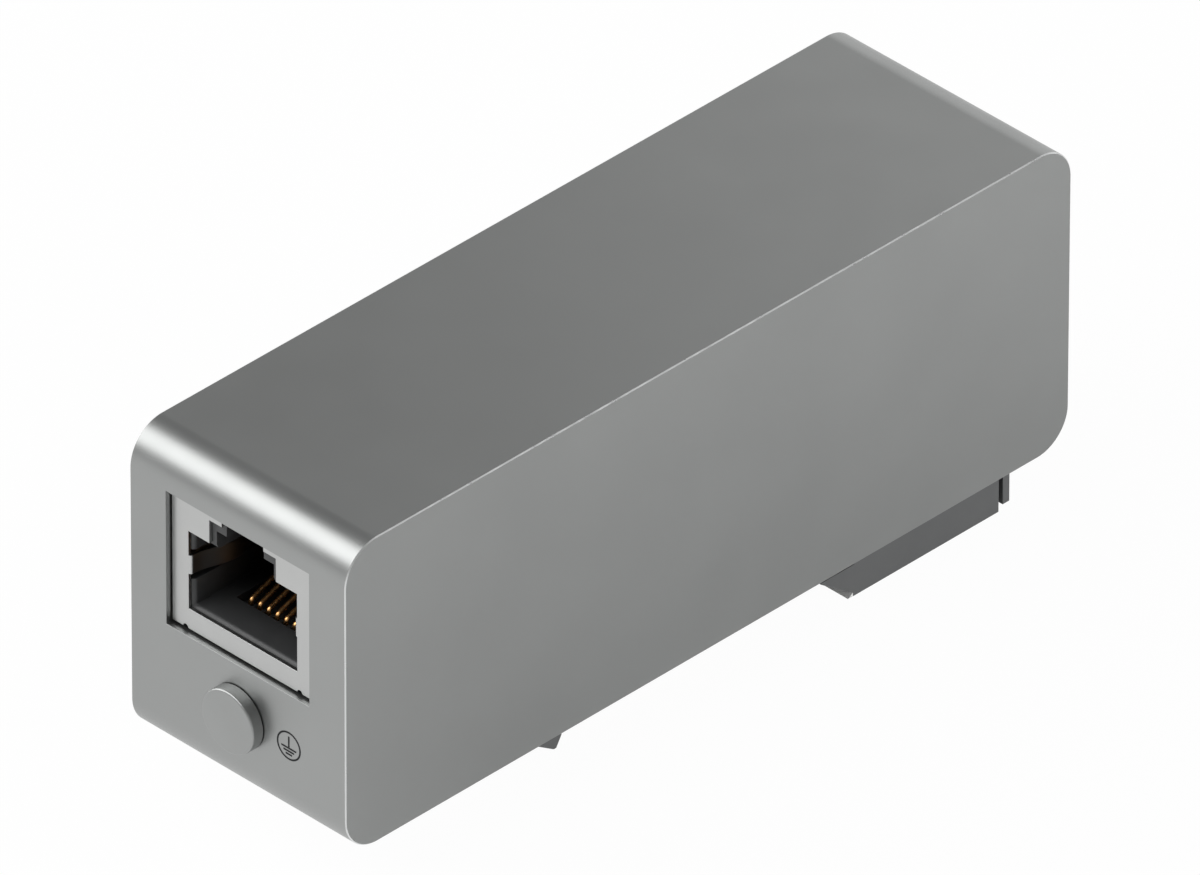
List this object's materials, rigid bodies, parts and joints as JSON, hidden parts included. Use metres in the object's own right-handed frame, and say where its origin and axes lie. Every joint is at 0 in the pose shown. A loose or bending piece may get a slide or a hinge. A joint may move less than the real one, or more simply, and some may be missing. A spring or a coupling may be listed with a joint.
{
  "type": "ethernet surge protector",
  "caption": "Inline ethernet surge protector in a grey metal case, with a modular socket at each end, a ground screw and a sprung clip for a 35 mm rail.",
  "frame": {"origin": "middle of the face that rests on the mounting rail, on the rail's centre line", "axes": "+X along the rail, -Y towards the front end with the ground screw, +Z away from the rail"},
  "size_m": [0.0244, 0.084, 0.0359],
  "materials": {
    "housing": "fine matt grey anodised",
    "cover": "fine matt grey anodised",
    "clip": "moulded",
    "latch": "moulded",
    "ground_screw": "turned, satin",
    "bracket": "tinned sheet",
    "shield": "nickel-plated sheet",
    "insert": "moulded, satin",
    "contacts": "gold-plated wire",
    "board": "solder mask",
    "gas_tubes": "glazed ceramic",
    "arrays": "moulded",
    "screws": "zinc-plated",
    "spring": "spring wire"
  },
  "bodies": {
    "case": {"housing": "housing", "bottom_cover": "cover", "clip_base": "clip", "ground_bracket": "bracket", "circuit_board": "board", "latch_spring": "spring", "front_jack_shield": "shield", "rear_jack_shield": "shield", "front_jack_insert": "insert", "rear_jack_insert": "insert", "front_contact_1": "contacts", "front_contact_2": "contacts", "front_contact_3": "contacts", "front_contact_4": "contacts", "front_contact_5": "contacts", "front_contact_6": "contacts", "front_contact_7": "contacts", "front_contact_8": "contacts", "rear_contact_1": "contacts", "rear_contact_2": "contacts", "rear_contact_3": "contacts", "rear_contact_4": "contacts", "rear_contact_5": "contacts", "rear_contact_6": "contacts", "rear_contact_7": "contacts", "rear_contact_8": "contacts", "gas_tube_1": "gas_tubes", "gas_tube_2": "gas_tubes", "gas_tube_3": "gas_tubes", "gas_tube_4": "gas_tubes", "tvs_array_1": "arrays", "tvs_array_2": "arrays", "tvs_array_3": "arrays", "tvs_array_4": "arrays", "cover_screw_1": "screws", "cover_screw_2": "screws", "cover_screw_3": "screws", "cover_screw_4": "screws", "clip_screw_1": "screws", "clip_screw_2": "screws", "board_screw_1": "screws", "board_screw_2": "screws"},
    "rail_latch": {"rail_latch": "latch"},
    "ground_screw": {"ground_screw": "ground_screw"}
  },
  "joints": [
    {"name": "latch_slide", "type": "slide", "parent": "case", "child": "rail_latch", "axis": [0, 1, 0], "range_m": [0, 0.0038], "stiffness_N_per_m": 900, "springref_m": -0.002, "deforming": ["latch_spring"]},
    {"name": "ground_screw_turn", "type": "hinge", "parent": "case", "child": "ground_screw", "pos_m": [0, -0.04325, 0.0096], "axis": [0, 1, 0], "continuous": true}
  ]
}
